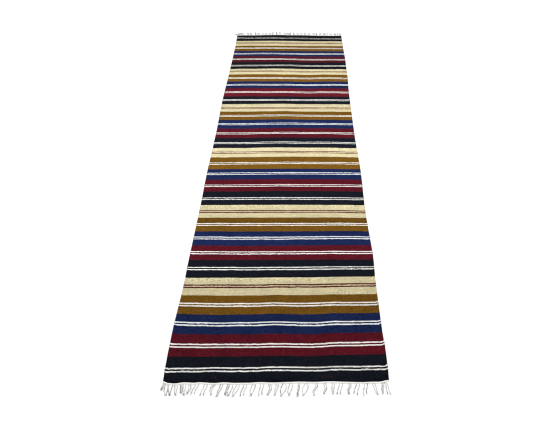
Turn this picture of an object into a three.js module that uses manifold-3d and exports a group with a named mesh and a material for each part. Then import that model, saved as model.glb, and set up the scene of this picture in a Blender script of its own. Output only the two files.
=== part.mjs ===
// Kilim runner rug: a long flatwoven floor cloth whose warp ends are knotted into a fringe at both ends.
// Millimetres. X runs across the rug, Y along it from the near end to the far end, Z up from the floor.
// The origin is on the floor under the middle of the cloth.

import * as THREE from 'three';
import { mergeVertices } from 'three/addons/utils/BufferGeometryUtils.js';
import Module from 'manifold-3d';

const wasm = await Module();
wasm.setup();

// Woven cloth
const CLOTH_WIDTH = 900;
const CLOTH_LENGTH = 3050;
const CLOTH_THICKNESS = 3;
const CLOTH_EDGE_ROUND = 0.8;
const STEPS_ACROSS = 40;
const STEPS_ALONG = 42;

// Twined end cord, parted from the cloth by a hair
const PIECE_GAP = 0.3;
const CORD_WIDTH = 5.8;
const CORD_HEIGHT = 3.6;

// Knotted warp strands, which rest on the floor and rise a little into the cord and into their knot
const STRAND_WIDTH = 4.4;
const STRAND_HEIGHT = 2.8;
const STRAND_SIDES = 3;
const STRAND_BENDS = 4;
const STRAND_ROOT_DEPTH = 2;
const STRAND_RISE = 0.7;
const KNOT_WIDTH = 7.6;
const SMALL_KNOT_WIDTH = 5;
const KNOT_HEIGHT = 5.4;
const KNOT_STRETCH = 1.15;
const KNOT_SIDES = 4;
const KNOT_FOOT_SHARE = 0.95;
const KNOT_CROWN_SHARE = 0.5;
const STRANDS_IN_KNOT = 3.8;
const TAIL_LENGTH = 6.5;
const TAIL_UNEVENNESS = 1.5;
const TAIL_SPLAY = 1;
const TAIL_TIP_SHARE = 0.7;

// What keeps the unevenness of the left tails apart from that of the right ones
const SALTS = { leftTail: 5, rightTail: 7 };

// How far each selvedge strays sideways, in +X, at a distance along the rug from its near end
const SELVEDGE_SWELLS = [
  { along: 0, left: 4.5, right: -1.5 },
  { along: 60, left: 1.5, right: 0.5 },
  { along: 120, left: -0.5, right: 1.5 },
  { along: 220, left: -1.5, right: -1.5 },
  { along: 450, left: 3.5, right: -1 },
  { along: 620, left: 1.5, right: 4.5 },
  { along: 930, left: 1.5, right: -3 },
  { along: 1250, left: -2.5, right: 2.5 },
  { along: 1600, left: -0.5, right: -4 },
  { along: 2050, left: -6, right: -3.5 },
  { along: 2400, left: -1, right: 4 },
  { along: 2620, left: 1, right: 5 },
  { along: 2850, left: 2, right: 1 },
  { along: 3050, left: -2, right: 0 },
];

// How far each end strays in +Y, at a distance across the rug from its left selvedge
const END_SWELLS = [
  { across: 0, near: 4, far: 5 },
  { across: 22, near: -3, far: 9 },
  { across: 45, near: -5, far: 11 },
  { across: 85, near: -0.5, far: 11.5 },
  { across: 125, near: -2, far: 11.5 },
  { across: 145, near: 0, far: 11.5 },
  { across: 204, near: -3, far: 14 },
  { across: 244, near: -0.5, far: 16 },
  { across: 284, near: -2.5, far: 17 },
  { across: 342, near: -2, far: 19 },
  { across: 383, near: 0.5, far: 18 },
  { across: 442, near: -1, far: 13.5 },
  { across: 500, near: 1.2, far: 13.5 },
  { across: 540, near: 2.3, far: 14 },
  { across: 600, near: 1.4, far: 11.5 },
  { across: 670, near: 3.5, far: 7 },
  { across: 725, near: 1.9, far: 5 },
  { across: 790, near: 0.6, far: 3.5 },
  { across: 835, near: 2, far: 3 },
  { across: 855, near: 2, far: 3 },
  { across: 900, near: 9, far: 2 },
];

// The ways in which a tassel's two strands lie. bow is how far they part midway, bend how far both bulge to the right
// midway, sway the size of their S, spread the distance between their roots. With apart they don't meet, each has a
// small knot, and step is how much farther the left one reaches than the middle.
const TASSEL_KINDS = {
  plain: { bow: 1, bend: 0, sway: 1, spread: 9, apart: 0, step: 0 },
  tight: { bow: 0.5, bend: 1, sway: 1, spread: 5, apart: 0, step: 0 },
  wide: { bow: 0, bend: 0, sway: 0.5, spread: 18, apart: 0, step: 0 },
  oval: { bow: 4, bend: 0, sway: 1, spread: 9, apart: 0, step: 0 },
  loop: { bow: 7, bend: 1, sway: 0, spread: 9, apart: 0, step: 0 },
  ess: { bow: 0.8, bend: 0, sway: 4, spread: 7, apart: 0, step: 0 },
  left: { bow: 1, bend: -7, sway: 0, spread: 8, apart: 0, step: 0 },
  right: { bow: 1, bend: 6.5, sway: 0, spread: 8, apart: 0, step: 0 },
  pair: { bow: 0, bend: 0, sway: 1.5, spread: 12, apart: 12, step: 0 },
  longLeft: { bow: 0, bend: 0, sway: 1.5, spread: 12, apart: 12, step: 2.5 },
  longRight: { bow: 0, bend: 0, sway: 1.5, spread: 12, apart: 12, step: -3.5 },
  close: { bow: 0, bend: 1, sway: 1, spread: 7, apart: 10, step: 0 },
};

// The tassels from left to right at each end: how far the root lies from the left selvedge, how far the knot lies to
// the right of the root, how far it lies from the cord, and the kind
const NEAR_TASSELS = [
  [4, -3.5, 25, 'tight'],
  [15, 6, 40, 'oval'],
  [32, 4, 37, 'wide'],
  [54, 5, 36, 'plain'],
  [73, 6, 31, 'tight'],
  [86, 5.5, 40, 'plain'],
  [106, -2, 34, 'right'],
  [137, -10, 34, 'pair'],
  [172, -9, 39, 'pair'],
  [206, -8, 35, 'left'],
  [235, -13, 44, 'plain'],
  [260, -6.5, 38, 'tight'],
  [272, -6.5, 41, 'oval'],
  [300, -15, 43, 'oval'],
  [328, -9, 40, 'longLeft'],
  [362, -8.5, 41, 'oval'],
  [394, -4, 40, 'longLeft'],
  [424, -4.5, 39, 'right'],
  [455, -8, 40, 'plain'],
  [483, -10, 43, 'loop'],
  [509, -7, 43, 'oval'],
  [540, -4.5, 47, 'tight'],
  [570, -11.5, 43, 'loop'],
  [609, -8.5, 42, 'ess'],
  [641, -2, 37, 'right'],
  [676, -2, 38, 'plain'],
  [707, -10.5, 39, 'pair'],
  [740, -3.5, 38, 'ess'],
  [774, -11, 37, 'longRight'],
  [806, -7, 39, 'longLeft'],
  [835, 12, 40, 'plain'],
  [871, -2.5, 38, 'tight'],
  [884, 8, 43, 'close'],
];
const FAR_TASSELS = [
  [7, -22, 22, 'plain'],
  [16, -6, 36, 'plain'],
  [33, -4, 37, 'oval'],
  [52, -3, 38, 'pair'],
  [90, 0, 36, 'wide'],
  [119, -4, 36, 'plain'],
  [158, -3, 43, 'tight'],
  [184, -2, 34, 'loop'],
  [226, -4, 34, 'pair'],
  [252, -2, 36, 'oval'],
  [284, -3, 36, 'plain'],
  [305, 1, 43, 'tight'],
  [341, -3, 41, 'ess'],
  [372, -2, 41, 'pair'],
  [409, 0, 36, 'wide'],
  [436, -3, 34, 'loop'],
  [463, -2, 42, 'left'],
  [490, -3, 38, 'plain'],
  [523, -2, 36, 'oval'],
  [556, -1, 36, 'pair'],
  [584, -2, 35, 'right'],
  [622, 0, 36, 'wide'],
  [663, -2, 36, 'loop'],
  [686, -2, 34, 'tight'],
  [719, 0, 36, 'oval'],
  [746, 2, 41, 'right'],
  [775, -1, 36, 'pair'],
  [811, -1, 34, 'loop'],
  [846, 0, 35, 'ess'],
  [868, 2, 35, 'plain'],
  [888, 4, 33, 'plain'],
];

const striped = new THREE.MeshStandardMaterial({ color: 0x5f4b42, roughness: 0.95, metalness: 0 });
const cotton = new THREE.MeshStandardMaterial({ color: 0xefece2, roughness: 0.9, metalness: 0 });

// A smooth line through one column of a table of swells.
function swell(table, place, column, at) {
  const next = Math.max(1, table.findIndex((row) => row[place] >= at));
  const [a, b] = [table[next - 1], table[next]];
  const share = THREE.MathUtils.smoothstep(at, a[place], b[place]);
  return THREE.MathUtils.lerp(a[column], b[column], share);
}

function selvedge(side, along) {
  const edge = side === 'left' ? -CLOTH_WIDTH / 2 : CLOTH_WIDTH / 2;
  return edge + swell(SELVEDGE_SWELLS, 'along', side, along);
}

function endLine(end, across) {
  const edge = end === 'near' ? -CLOTH_LENGTH / 2 : CLOTH_LENGTH / 2;
  return edge + swell(END_SWELLS, 'across', end, across);
}

// A point on an end's line, at a distance across the rug, moved out from the cloth along Y.
function onEnd(end, across, outward) {
  const left = selvedge('left', end === 'near' ? 0 : CLOTH_LENGTH);
  const right = selvedge('right', end === 'near' ? 0 : CLOTH_LENGTH);
  const away = end === 'near' ? -1 : 1;
  const x = THREE.MathUtils.lerp(left, right, across / CLOTH_WIDTH);
  return new THREE.Vector2(x, endLine(end, across) + away * outward);
}

function endPoints(end, outward) {
  return Array.from({ length: STEPS_ACROSS + 1 }, (_, i) => onEnd(end, (i / STEPS_ACROSS) * CLOTH_WIDTH, outward));
}

// Points up one selvedge, without its two corners, which belong to the ends.
function selvedgePoints(side) {
  const corner = side === 'left' ? 0 : CLOTH_WIDTH;
  const low = endLine('near', corner);
  const high = endLine('far', corner);
  return Array.from({ length: STEPS_ALONG - 1 }, (_, i) => {
    const share = (i + 1) / STEPS_ALONG;
    return new THREE.Vector2(selvedge(side, share * CLOTH_LENGTH), THREE.MathUtils.lerp(low, high, share));
  });
}

// A flat slab of the given outline on the floor, with its edges taken off by round, which may be 0.
function slab(outline, height, round) {
  const geometry = new THREE.ExtrudeGeometry(new THREE.Shape(outline), {
    depth: height - 2 * round,
    bevelEnabled: round > 0,
    bevelThickness: round,
    bevelSize: round,
    bevelOffset: -round,
    bevelSegments: 1,
    curveSegments: 1,
  });
  return geometry.translate(0, 0, round);
}

// A number from -1 to 1 that looks unplanned but is the same every time.
function uneven(index, salt) {
  const wave = Math.sin(index * 12.9898 + salt * 78.233) * 43758.5453;
  return 2 * (wave - Math.floor(wave)) - 1;
}

function solid(geometry) {
  const bare = geometry.clone();
  bare.deleteAttribute('normal');
  bare.deleteAttribute('uv');
  const merged = mergeVertices(bare);
  return new wasm.Manifold(new wasm.Mesh({
    numProp: 3,
    vertProperties: new Float32Array(merged.attributes.position.array),
    triVerts: new Uint32Array(merged.index.array),
  }));
}

function geometryOf(manifold) {
  const mesh = manifold.getMesh();
  const geometry = new THREE.BufferGeometry();
  geometry.setAttribute('position', new THREE.BufferAttribute(mesh.vertProperties, 3));
  geometry.setIndex(new THREE.BufferAttribute(mesh.triVerts, 1));
  geometry.computeVertexNormals();
  return geometry;
}

// A three-sided strand with its flat down, through a row of rings, each with its place on the floor, its rise and
// its share of full size.
function strand(rings) {
  const corners = rings.flatMap((ring, i) => {
    const before = rings[Math.max(0, i - 1)].at;
    const after = rings[Math.min(rings.length - 1, i + 1)].at;
    const aside = after.clone().sub(before).setLength((STRAND_WIDTH / 2) * ring.share)
      .rotateAround(new THREE.Vector2(), Math.PI / 2);
    return [
      [ring.at.x - aside.x, ring.at.y - aside.y, ring.rise],
      [ring.at.x + aside.x, ring.at.y + aside.y, ring.rise],
      [ring.at.x, ring.at.y, ring.rise + STRAND_HEIGHT * ring.share],
    ];
  });
  const faces = [0, 2, 1];
  for (let ring = 0; ring < rings.length - 1; ring += 1) {
    for (let side = 0; side < STRAND_SIDES; side += 1) {
      const a = STRAND_SIDES * ring + side;
      const b = STRAND_SIDES * ring + ((side + 1) % STRAND_SIDES);
      faces.push(a, b, b + STRAND_SIDES, a, b + STRAND_SIDES, a + STRAND_SIDES);
    }
  }
  const last = corners.length - STRAND_SIDES;
  faces.push(last, last + 1, last + 2);
  const geometry = new THREE.BufferGeometry();
  geometry.setAttribute('position', new THREE.Float32BufferAttribute(corners.flat(), 3));
  geometry.setIndex(faces);
  return solid(geometry);
}

// A lump that sits around the strands, a little longer than it is wide, with its flats across the strands.
function knot(centre, heading, width) {
  const reach = width / 2 / Math.cos(Math.PI / KNOT_SIDES);
  const profile = [
    new THREE.Vector2(0, 0),
    new THREE.Vector2(reach * KNOT_FOOT_SHARE, 0),
    new THREE.Vector2(reach, KNOT_HEIGHT / 2),
    new THREE.Vector2(reach * KNOT_CROWN_SHARE, KNOT_HEIGHT),
    new THREE.Vector2(0, KNOT_HEIGHT),
  ];
  const lump = new THREE.LatheGeometry(profile, KNOT_SIDES, Math.PI / KNOT_SIDES);
  lump.rotateX(Math.PI / 2).scale(1, KNOT_STRETCH, 1).rotateZ(heading).translate(centre.x, centre.y, 0);
  return solid(lump);
}

// Two strands from the cord that meet in a knot and end in short tails, or lie apart with a small knot each.
function tassel(end, index, [root, lean, reach, kindName]) {
  const kind = TASSEL_KINDS[kindName];
  const away = end === 'near' ? -1 : 1;
  const foot = kind.apart || STRANDS_IN_KNOT;
  const cordFace = (across) => onEnd(end, across, PIECE_GAP + CORD_WIDTH);

  const place = (side, share) => {
    const middle = cordFace(root);
    const start = cordFace(root + (side * kind.spread) / 2);
    const half = THREE.MathUtils.lerp(kind.spread, foot, share) / 2 + kind.bow * Math.sin(Math.PI * share);
    const drift = lean * share + kind.bend * Math.sin(Math.PI * share) + kind.sway * Math.sin(2 * Math.PI * share);
    return new THREE.Vector2(
      middle.x + side * half + drift,
      THREE.MathUtils.lerp(start.y, middle.y + away * (reach - side * kind.step), share),
    );
  };
  const heading = Math.atan2(-lean, reach) * away;
  const solids = [];
  for (const side of [-1, 1]) {
    const inCord = place(side, 0).add(new THREE.Vector2(0, -away * STRAND_ROOT_DEPTH));
    const tip = place(side, 1);
    const tailLength = TAIL_LENGTH + TAIL_UNEVENNESS * uneven(index, side < 0 ? SALTS.leftTail : SALTS.rightTail);
    const tailEnd = tip.x + side * TAIL_SPLAY + (lean / reach) * tailLength;
    const tail = new THREE.Vector2(tailEnd, tip.y + away * tailLength);
    solids.push(strand([
      { at: inCord, rise: STRAND_RISE, share: 1 },
      ...Array.from({ length: STRAND_BENDS - 1 }, (_, i) => (
        { at: place(side, (i + 1) / STRAND_BENDS), rise: 0, share: 1 }
      )),
      { at: tip, rise: STRAND_RISE, share: 1 },
      { at: tail, rise: 0, share: TAIL_TIP_SHARE },
    ]));
    if (kind.apart) solids.push(knot(tip, heading, SMALL_KNOT_WIDTH));
  }
  if (!kind.apart) solids.push(knot(place(0, 1), heading, KNOT_WIDTH));
  return solids.reduce((a, b) => a.add(b));
}

function wovenRunner() {
  const outline = [
    ...endPoints('near', 0),
    ...selvedgePoints('right'),
    ...endPoints('far', 0).reverse(),
    ...selvedgePoints('left').reverse(),
  ];
  return slab(outline, CLOTH_THICKNESS, CLOTH_EDGE_ROUND);
}

function fringe(end, tassels) {
  const inner = endPoints(end, PIECE_GAP);
  const outer = endPoints(end, PIECE_GAP + CORD_WIDTH).reverse();
  const outline = end === 'near' ? [...inner, ...outer].reverse() : [...inner, ...outer];
  const cord = solid(slab(outline, CORD_HEIGHT, 0));
  return geometryOf(tassels.reduce((body, row, i) => body.add(tassel(end, i, row)), cord));
}

function piece(name, geometry, material) {
  const mesh = new THREE.Mesh(geometry, material);
  mesh.name = name;
  return mesh;
}

const runner = new THREE.Group();
runner.add(piece('woven_runner', wovenRunner(), striped));
runner.add(piece('near_fringe', fringe('near', NEAR_TASSELS), cotton));
runner.add(piece('far_fringe', fringe('far', FAR_TASSELS), cotton));

export default runner;
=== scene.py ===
# Kilim runner rug, dressed for its look: a weft-faced striped cloth with a twined cord and a knotted fringe
# at each end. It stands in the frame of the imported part. Shapes are worked out in millimetres and turned
# into metres at the end.

import math

import bpy
import numpy as np
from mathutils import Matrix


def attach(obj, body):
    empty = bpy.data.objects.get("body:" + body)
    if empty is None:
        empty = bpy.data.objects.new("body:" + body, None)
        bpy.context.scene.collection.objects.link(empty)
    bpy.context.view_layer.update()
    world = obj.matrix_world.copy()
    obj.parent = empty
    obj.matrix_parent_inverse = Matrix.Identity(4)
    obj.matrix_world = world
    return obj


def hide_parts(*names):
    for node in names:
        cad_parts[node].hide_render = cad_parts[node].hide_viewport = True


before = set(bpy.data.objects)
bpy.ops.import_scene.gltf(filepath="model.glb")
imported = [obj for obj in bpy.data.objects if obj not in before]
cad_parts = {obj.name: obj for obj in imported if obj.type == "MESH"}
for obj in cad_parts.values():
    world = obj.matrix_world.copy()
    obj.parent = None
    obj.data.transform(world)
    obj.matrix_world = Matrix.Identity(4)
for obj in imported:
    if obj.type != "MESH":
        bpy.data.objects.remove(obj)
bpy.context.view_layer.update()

MM = 0.001
SEED = 31

# The cloth, as part.mjs has it. Its size is a guess from what such runners measure
CLOTH_WIDTH = 900.0
CLOTH_LENGTH = 3050.0
PIECE_GAP = 0.3
CORD_WIDTH = 5.8

# The cloth's own mesh: one rib for each warp, with a valley and a crest. The rim's rings run from the top
# down, each with the share that it reaches out to the cloth's outline and its height
RIBS = 250
CLOTH_TOP = 2.55
RIB_RELIEF = 0.4
EDGE_ROUND = 0.9
SELVEDGE_RIBS = 2.0
SELVEDGE_SWELL = 0.45
RIPPLE_LIFT = 1.5
SELVEDGE_LIFT = 1.2
RIPPLE_FADE = 60.0
CURL_FADE = 25.0
CORNER_DROP = 0.15
RIM_RINGS = ((1.0, 1.3), (0.0, 0.0))
UNDER_COLUMNS = 14
UNDER_ROWS = 42
UNDER_INSET = 14.0

# The weave's pattern
BEAD_LENGTH = 2.75
PIN_OFFSET = 6.5
PIN_UNEVENNESS = 1.8
PIN_JOG = 4.5
BANDS_IN_REPEAT = 5

# How far a place in the bands is kept from the outer edge of the first and the last band, in bands
BAND_MARGIN = 0.002

# Band widths from the near end to the far one, in the order black, maroon, blue, ochre, cream
BAND_WIDTHS = np.array([
    110, 100, 96, 99, 98,
    104, 91, 95, 97, 95,
    109, 101, 91, 114, 88,
    105, 102, 98, 98, 90,
    99, 113, 94, 104, 84,
    107, 100, 88, 95, 92,
    93.0,
])

# How speckled each of the five yarns is
YARN_GRAINS = np.array([2.0, 1.4, 1.5, 1.15, 0.45])
PIN_GRAIN = 0.5

# Half the width of a pinstripe in each repeat of the five bands, and the share of it in each of the five
PIN_HALF_WIDTHS = np.array([2.75, 2.45, 2.1, 2.2, 2.45, 2.4, 1.35])
PIN_SHARES = np.array([1.0, 1.08, 1.1, 1.16, 1.42])

# How light the yarns of each repeat are. In the first repeat this is partly painted shade, darker where the
# light falls off towards the near end
REPEAT_TONES = np.array([0.83, 1.0, 1.08, 1.05, 1.05, 0.95, 0.93])

# The bands whose yarn is lighter or darker than the rest of their repeat
BAND_TONES = {
    2: -0.08, 7: 0.08, 9: -0.07, 13: 0.1, 14: 0.05,
    15: 0.2, 17: 0.08, 18: 0.06, 20: -0.1, 21: 0.3,
    22: -0.12, 23: 0.08, 25: -0.35, 26: -0.2, 28: -0.08,
    30: -0.5,
}

# The bands whose far half, past its middle, is darker than its near half
FAR_HALF_TONES = {8: -0.22, 13: -0.08, 18: -0.1}

# How far the two pinstripes lie from the middle of their band, towards the far end
PIN_SHIFTS = np.array([
    -2, -3, 0, 0, 1,
    1, -1, 2, 0, -2,
    -4, -3, 5, -3, -1,
    -1, -2, 0, -2, -5,
    3, 1, 0, -3, 3,
    -1, -3, -3, 3, 7,
    1.0,
])

# Rows of the cloth's mesh in each band, as distances from its pinstripes' middle. Band edges have one too
ROWS_FROM_MIDDLE = (-13.0, -6.5, 0.0, 6.5, 13.0)

# How far each selvedge strays sideways, at a distance along the rug from its near end
SELVEDGE_ALONG = np.array([0, 60, 120, 220, 450, 620, 930, 1250, 1600, 2050, 2400, 2620, 2850, 3050.0])
SELVEDGE_LEFT = np.array([4.5, 1.5, -0.5, -1.5, 3.5, 1.5, 1.5, -2.5, -0.5, -6, -1, 1, 2, -2])
SELVEDGE_RIGHT = np.array([-1.5, 0.5, 1.5, -1.5, -1, 4.5, -3, 2.5, -4, -3.5, 4, 5, 1, 0])

# How far each end strays along the rug, at a distance across it from the left selvedge
END_ACROSS = np.array([
    0, 22, 45, 85, 125, 145, 204, 244, 284, 342, 383, 442, 500, 540,
    600, 670, 725, 790, 835, 855, 900,
], float)
END_NEAR = np.array([
    4, -3, -5, -0.5, -2, 0, -3, -0.5, -2.5, -2, 0.5, -1, 1.2, 2.3,
    1.4, 3.5, 1.9, 0.6, 2, 2, 9,
])
END_FAR = np.array([
    5, 9, 11, 11.5, 11.5, 11.5, 14, 16, 17, 19, 18, 13.5, 13.5, 14,
    11.5, 7, 5, 3.5, 3, 3, 2,
])

# How far the wefts stray towards the far end: one row of the table for each distance along the rug, and one
# column for each share of the way across
SWAY_ACROSS = np.array([0, 0.1, 0.2, 0.35, 0.5, 0.66, 0.8, 1.0])
SWAY_ALONG = np.array([
    60, 160, 260, 460, 700, 950, 1300, 1650, 1950, 2150, 2350, 2550, 2800, 2930, 3020.0,
])
SWAY = np.array([
    [-5, -4, -2, -2, 1, 0, 4, 5],
    [-2, -3, -4, -3.5, -1, -2, 5, 8],
    [1, -2.5, -4, -3, 0.5, -2, 4, 6],
    [-2, -2, -2.5, -2, -1, 0, 3, 4],
    [0, 0, -1, -1, -0.5, 0.5, 2.5, 1],
    [-1, 0, 0, 1, 1.5, 0.5, 0.5, -4],
    [-4, -3.5, -2.5, 0.5, 3, 2, 1, -3],
    [-2, -3.5, -3, 1.5, 4, 1, 0.5, -4],
    [-1, -1, 0, 3, 2.5, -0.5, -2, -4],
    [-3, 1.5, 5, 0.5, 1, -3.5, 0, -4],
    [0, 2, 2.5, 3, -1, -3.5, 0, -5],
    [1, 2, 3, 5, 3, -5, -5, -5],
    [1, 2, 3, 4, 1, -2, -3, -5],
    [-7, -3, -2, -2, -4, -10, -10, -10],
    [6, 3, 3, 6, 1, -4, -10, -14],
])

# Right beside each selvedge the wefts stray a little more, less so farther along
RIGHT_JOG = 5.0
LEFT_JOG = 2.0
JOG_SHARE = 0.017
JOG_FADE = 1300.0
SWAY_UNEVENNESS = 0.9
SWAY_FINE_UNEVENNESS = 0.5

# Where a pinstripe's yarn turns round the selvedge it makes a small nub
NUB_REACH = 1.2
NUB_LENGTH = 4.5
NUB_RIBS = 3.0
NUB_UNEVENNESS = 0.5

# The map for baking: its size in pixels, and where its strips and the rim's three columns lie
MAP_SIZE = 1024.0
MAP_STRIPS = 3
MAP_GAP = 4.0
MAP_MARGIN = 2
MAP_UNDER_WIDTH = 200
MAP_STRIP_BANDS = [0, 10, 21, 31]
MAP_LOW = 0.003
MAP_SPAN = 0.994
MAP_RIM_STARTS = (996.0, 1005.0, 1014.0)
MAP_RIM_WIDTH = 6
RIM_HEIGHT = 4.5

# A rim face whose middle is nearer to a selvedge than this share of the width belongs to that side
EDGE_SHARE = 0.0005

# Cells of the lattice that soft noise is drawn on
LATTICE = 128

# Knotted warp strands, as part.mjs has them
STRAND_ROOT_DEPTH = 2.0
STRANDS_IN_KNOT = 3.8
TAIL_LENGTH = 6.5
TAIL_UNEVENNESS = 1.5
TAIL_SPLAY = 1.0
SALTS = {"near": 2, "far": 3, "left_tail": 5, "right_tail": 7}

# The ways in which a tassel's two strands lie, as part.mjs has them: bow, bend, sway, spread, apart, step
TASSEL_KINDS = {
    "plain": (1, 0, 1, 9, 0, 0),
    "tight": (0.5, 1, 1, 5, 0, 0),
    "wide": (0, 0, 0.5, 18, 0, 0),
    "oval": (4, 0, 1, 9, 0, 0),
    "loop": (7, 1, 0, 9, 0, 0),
    "ess": (0.8, 0, 4, 7, 0, 0),
    "left": (1, -7, 0, 8, 0, 0),
    "right": (1, 6.5, 0, 8, 0, 0),
    "pair": (0, 0, 1.5, 12, 12, 0),
    "longLeft": (0, 0, 1.5, 12, 12, 2.5),
    "longRight": (0, 0, 1.5, 12, 12, -3.5),
    "close": (0, 1, 1, 7, 10, 0),
}

# The tassels from left to right at each end, as part.mjs has them: root, lean, reach, kind
NEAR_TASSELS = (
    (4, -3.5, 25, "tight"),
    (15, 6, 40, "oval"),
    (32, 4, 37, "wide"),
    (54, 5, 36, "plain"),
    (73, 6, 31, "tight"),
    (86, 5.5, 40, "plain"),
    (106, -2, 34, "right"),
    (137, -10, 34, "pair"),
    (172, -9, 39, "pair"),
    (206, -8, 35, "left"),
    (235, -13, 44, "plain"),
    (260, -6.5, 38, "tight"),
    (272, -6.5, 41, "oval"),
    (300, -15, 43, "oval"),
    (328, -9, 40, "longLeft"),
    (362, -8.5, 41, "oval"),
    (394, -4, 40, "longLeft"),
    (424, -4.5, 39, "right"),
    (455, -8, 40, "plain"),
    (483, -10, 43, "loop"),
    (509, -7, 43, "oval"),
    (540, -4.5, 47, "tight"),
    (570, -11.5, 43, "loop"),
    (609, -8.5, 42, "ess"),
    (641, -2, 37, "right"),
    (676, -2, 38, "plain"),
    (707, -10.5, 39, "pair"),
    (740, -3.5, 38, "ess"),
    (774, -11, 37, "longRight"),
    (806, -7, 39, "longLeft"),
    (835, 12, 40, "plain"),
    (871, -2.5, 38, "tight"),
    (884, 8, 43, "close"),
)
FAR_TASSELS = (
    (7, -22, 22, "plain"),
    (16, -6, 36, "plain"),
    (33, -4, 37, "oval"),
    (52, -3, 38, "pair"),
    (90, 0, 36, "wide"),
    (119, -4, 36, "plain"),
    (158, -3, 43, "tight"),
    (184, -2, 34, "loop"),
    (226, -4, 34, "pair"),
    (252, -2, 36, "oval"),
    (284, -3, 36, "plain"),
    (305, 1, 43, "tight"),
    (341, -3, 41, "ess"),
    (372, -2, 41, "pair"),
    (409, 0, 36, "wide"),
    (436, -3, 34, "loop"),
    (463, -2, 42, "left"),
    (490, -3, 38, "plain"),
    (523, -2, 36, "oval"),
    (556, -1, 36, "pair"),
    (584, -2, 35, "right"),
    (622, 0, 36, "wide"),
    (663, -2, 36, "loop"),
    (686, -2, 34, "tight"),
    (719, 0, 36, "oval"),
    (746, 2, 41, "right"),
    (775, -1, 36, "pair"),
    (811, -1, 34, "loop"),
    (846, 0, 35, "ess"),
    (868, 2, 35, "plain"),
    (888, 4, 33, "plain"),
)

# The yarns that a strand is twisted from
YARNS_IN_STRAND = 4
YARN_RADIUS = 0.8
YARN_SIDES = 6
STRAND_TWIST_PITCH = 13.0
STRAND_HALF_WIDTH = 1.35
STRAND_HALF_HEIGHT = 0.6
STRAND_RINGS = 22
TAIL_RINGS = 6
TAIL_FAN = 2.3
TAIL_TIP_SHARE = 0.55
TAIL_REACHES = (0.72, 1.12)
TAIL_CURL = 0.9
TAIL_HOP = 0.5
TAIL_SETTLING = 1.4
TAIL_CLEARANCE = 0.05
YARN_WANDER = 0.12
KNOT_RUN_IN = 7.0
KNOT_RISE = 1.2
KNOT_PINCH = 0.25
KNOT_WRAPS = 3
KNOT_WRAP_RADIUS = 0.68
KNOT_WRAP_SPACING = 1.25
KNOT_WRAP_TURNS = 1.15
KNOT_WRAP_RINGS = 26
KNOT_HALF_WIDTH = 3.0
SMALL_KNOT_HALF_WIDTH = 1.75
KNOT_HALF_HEIGHT = 1.75
KNOT_TILT = 0.42

# How grey the yarns are at each end, how much more so in a knot and less in a tail, and what chance adds.
# The grey is grime and painted shade, the painted shade darkest in the knots and over the far fringe
END_GRIME_AND_SHADE = {"near": 0.0, "far": 1.1}
KNOT_GRIME_AND_SHADE = 0.2
TAIL_GRIME_AND_SHADE = -0.3
STRAND_GRIME_AND_SHADE_CHANCE = 0.25
KNOT_GRIME_AND_SHADE_CHANCE = 0.4

# The twined end cord: two ropes side by side, each of two plies
CORD_ROPES = 2
PLY_RADIUS = 1.1
PLY_ORBIT = 0.35
PLY_PITCH = 9.0
PLY_RINGS = 540
PLY_SIDES = 6

# Colours of the yarns, as display values from 0 to 255
PAINTS = {
    "black": (17, 21, 31),
    "maroon": (89, 17, 30),
    "blue": (23, 38, 81),
    "ochre": (117, 81, 21),
    "cream": (218, 206, 165),
    "pin": (254, 253, 247),
    "maroon_pin": (255, 253, 248),
    "blue_pin": (251, 253, 255),
    "ochre_pin": (255, 255, 244),
    "cotton": (234, 234, 231),
    # Greys for grime and painted shade on the fringe yarns
    "grime_and_shade": (96, 97, 98),
    "far_grime_and_shade": (78, 80, 83),
    "cord": (255, 255, 249),
    "stain": (46, 32, 30),
    "lint": (190, 186, 176),
}

# The wool's unevenness: how far a weft wanders, and how much each cause changes how light it is
WEFT_WANDER = 2.6
BAND_TONE_CHANCE = 0.1
STREAK_TONE = 0.72
CLOUD_TONE = 0.5
PATCH_TONE = 0.85
BEAD_TONE = 0.6
DARKEST_TONE = 0.15
# Painted shade in the weave's grooves: what a bead's crest gains over its groove, and how light a groove is
CREST_GAIN = 0.42
GROOVE_LIGHT = 0.62
DUST = 0.04
LINT = 0.08
LINT_CHANCE = 0.0008

# The faint mark: its place and half its size, as shares of the way across and millimetres along
MARK_ACROSS = 0.72
MARK_HALF_WIDTH = 0.05
MARK_ALONG = 20.0
MARK_HALF_LENGTH = 11.0
MARK_MOST = 0.35

# Relief that the wool's material adds, and the plies of a cotton yarn
RIB_BUMP = 0.42
BEAD_BUMP = 0.3
FIBRE_BUMP = 0.12
PLIES_IN_YARN = 3.0
YARN_TWIST_PITCH = 1.6

# Light of the studio; the key light comes from beyond the far end, a little from the left
SKY_LIGHT = 0.7
KEY_LIGHT = 1.2
KEY_SOFTNESS = 30.0
KEY_FROM_ABOVE = 42.0
KEY_FROM_FAR_END = 202.0
FLOOR_GLOW = 0.07
FLOOR_REACH = 60.0
FLOOR_HEIGHT = -0.0003
SOFTBOX_PLACE = (0.1, 0.9, 2.4)
SOFTBOX_AIM = (0.0, 0.7, 0.0)
SOFTBOX_SIZE = 2.2
SOFTBOX_POWER = 20.0

# The camera, worked out from the photo's vanishing point, the rug's edges and size, and an assumed lens
IMAGE_WIDTH = 533.0
FOCAL_PIXELS = 450.43
SENSOR_WIDTH = 36.0
CAMERA_PLACE = (0.0992, -2.2767, 1.7478)
CAMERA_TILT_DOWN = 45.904
CAMERA_SHIFT_X = -0.0644
PIXEL_FILTER_WIDTH = 1.15


# Measures along smooth lines

def band_edges():
    return np.concatenate([[0.0], np.cumsum(BAND_WIDTHS * CLOTH_LENGTH / BAND_WIDTHS.sum())])


def pin_middles():
    edges = band_edges()
    return (edges[:-1] + edges[1:]) / 2 + PIN_SHIFTS


def band_tones(tones):
    return np.array([tones.get(band, 0.0) for band in range(len(PIN_SHIFTS))])


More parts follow.
